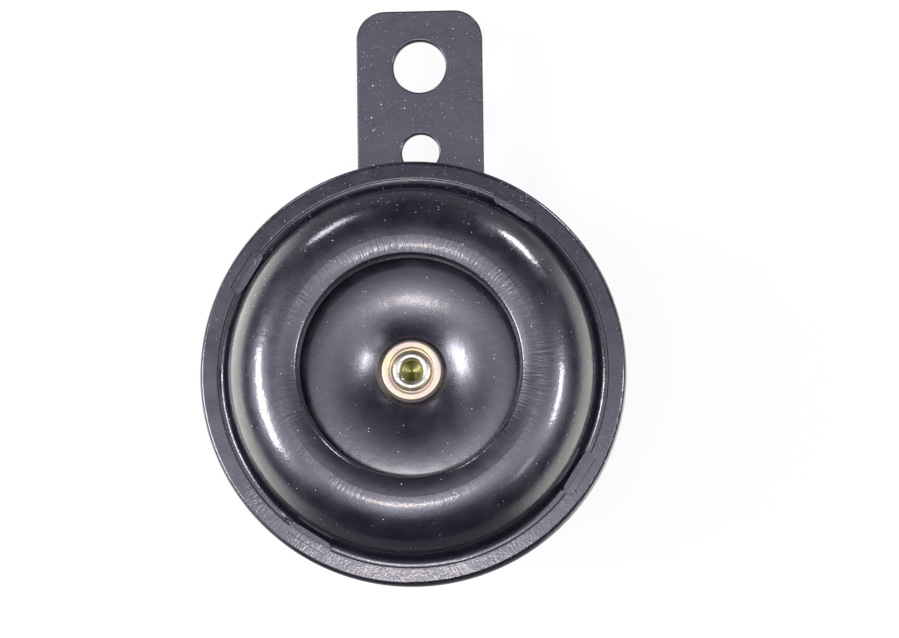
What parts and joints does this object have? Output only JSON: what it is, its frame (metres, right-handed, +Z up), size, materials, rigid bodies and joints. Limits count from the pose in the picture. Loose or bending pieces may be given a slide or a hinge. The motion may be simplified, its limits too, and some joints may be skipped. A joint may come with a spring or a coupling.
{
  "type": "car horn",
  "caption": "Electric disc horn: crimped steel housing, ring-shaped front cover with an open mouth, dished tone disc, blade terminals and a flat strap bracket with bolt holes.",
  "frame": {"origin": "centre of the upper bolt hole of the strap bracket, on the strap's rear mounting face", "axes": "+Z up along the strap, -Y the way the sound leaves, +X to the right seen from the front"},
  "size_m": [0.065, 0.045, 0.0936],
  "materials": {
    "black_enamel": "satin-gloss black stoving enamel on pressed steel",
    "yellow_zinc": "zinc plate with yellow chromate passivation",
    "bright_zinc": "bright zinc plate",
    "soft_iron": "turned or stamped soft iron, oiled",
    "spring_steel": "rolled spring steel, blued",
    "gasket_board": "gasket board",
    "fibre_board": "red vulcanised fibre",
    "phenolic": "laminated phenolic board, brown",
    "bobbin_nylon": "moulded natural nylon",
    "enamelled_copper": "enamelled copper wire, wound",
    "brass": "stamped brass",
    "tungsten": "sintered contact metal"
  },
  "bodies": {
    "root": {"housing": "black_enamel", "front_cover": "black_enamel", "tone_disc": "black_enamel", "mounting_bracket": "black_enamel", "cup_washer": "yellow_zinc", "centre_rivet": "bright_zinc", "plain_washer": "bright_zinc", "spring_washer": "bright_zinc", "hex_nut": "bright_zinc", "adjusting_screw": "bright_zinc", "lock_nut": "bright_zinc", "plate_rivets": "bright_zinc", "armature": "soft_iron", "pole_core": "soft_iron", "contact_plate": "soft_iron", "front_diaphragm_washer": "soft_iron", "rear_diaphragm_washer": "soft_iron", "spacer_bush": "soft_iron", "breaker_clamp": "soft_iron", "breaker_rivets": "soft_iron", "diaphragm": "spring_steel", "moving_leaf": "spring_steel", "rear_gasket": "gasket_board", "front_gasket": "gasket_board", "lower_insulator": "fibre_board", "middle_insulator": "fibre_board", "upper_insulator": "fibre_board", "breaker_sleeves": "fibre_board", "inner_terminal_washers": "fibre_board", "terminal_insulator": "phenolic", "coil_bobbin": "bobbin_nylon", "coil_winding": "enamelled_copper", "coil_start_lead": "enamelled_copper", "coil_end_lead": "enamelled_copper", "arm_lead": "enamelled_copper", "left_terminal": "brass", "right_terminal": "brass", "left_terminal_rivet": "brass", "right_terminal_rivet": "brass", "fixed_arm": "brass", "moving_contact": "tungsten", "fixed_contact": "tungsten"}
  },
  "joints": []
}
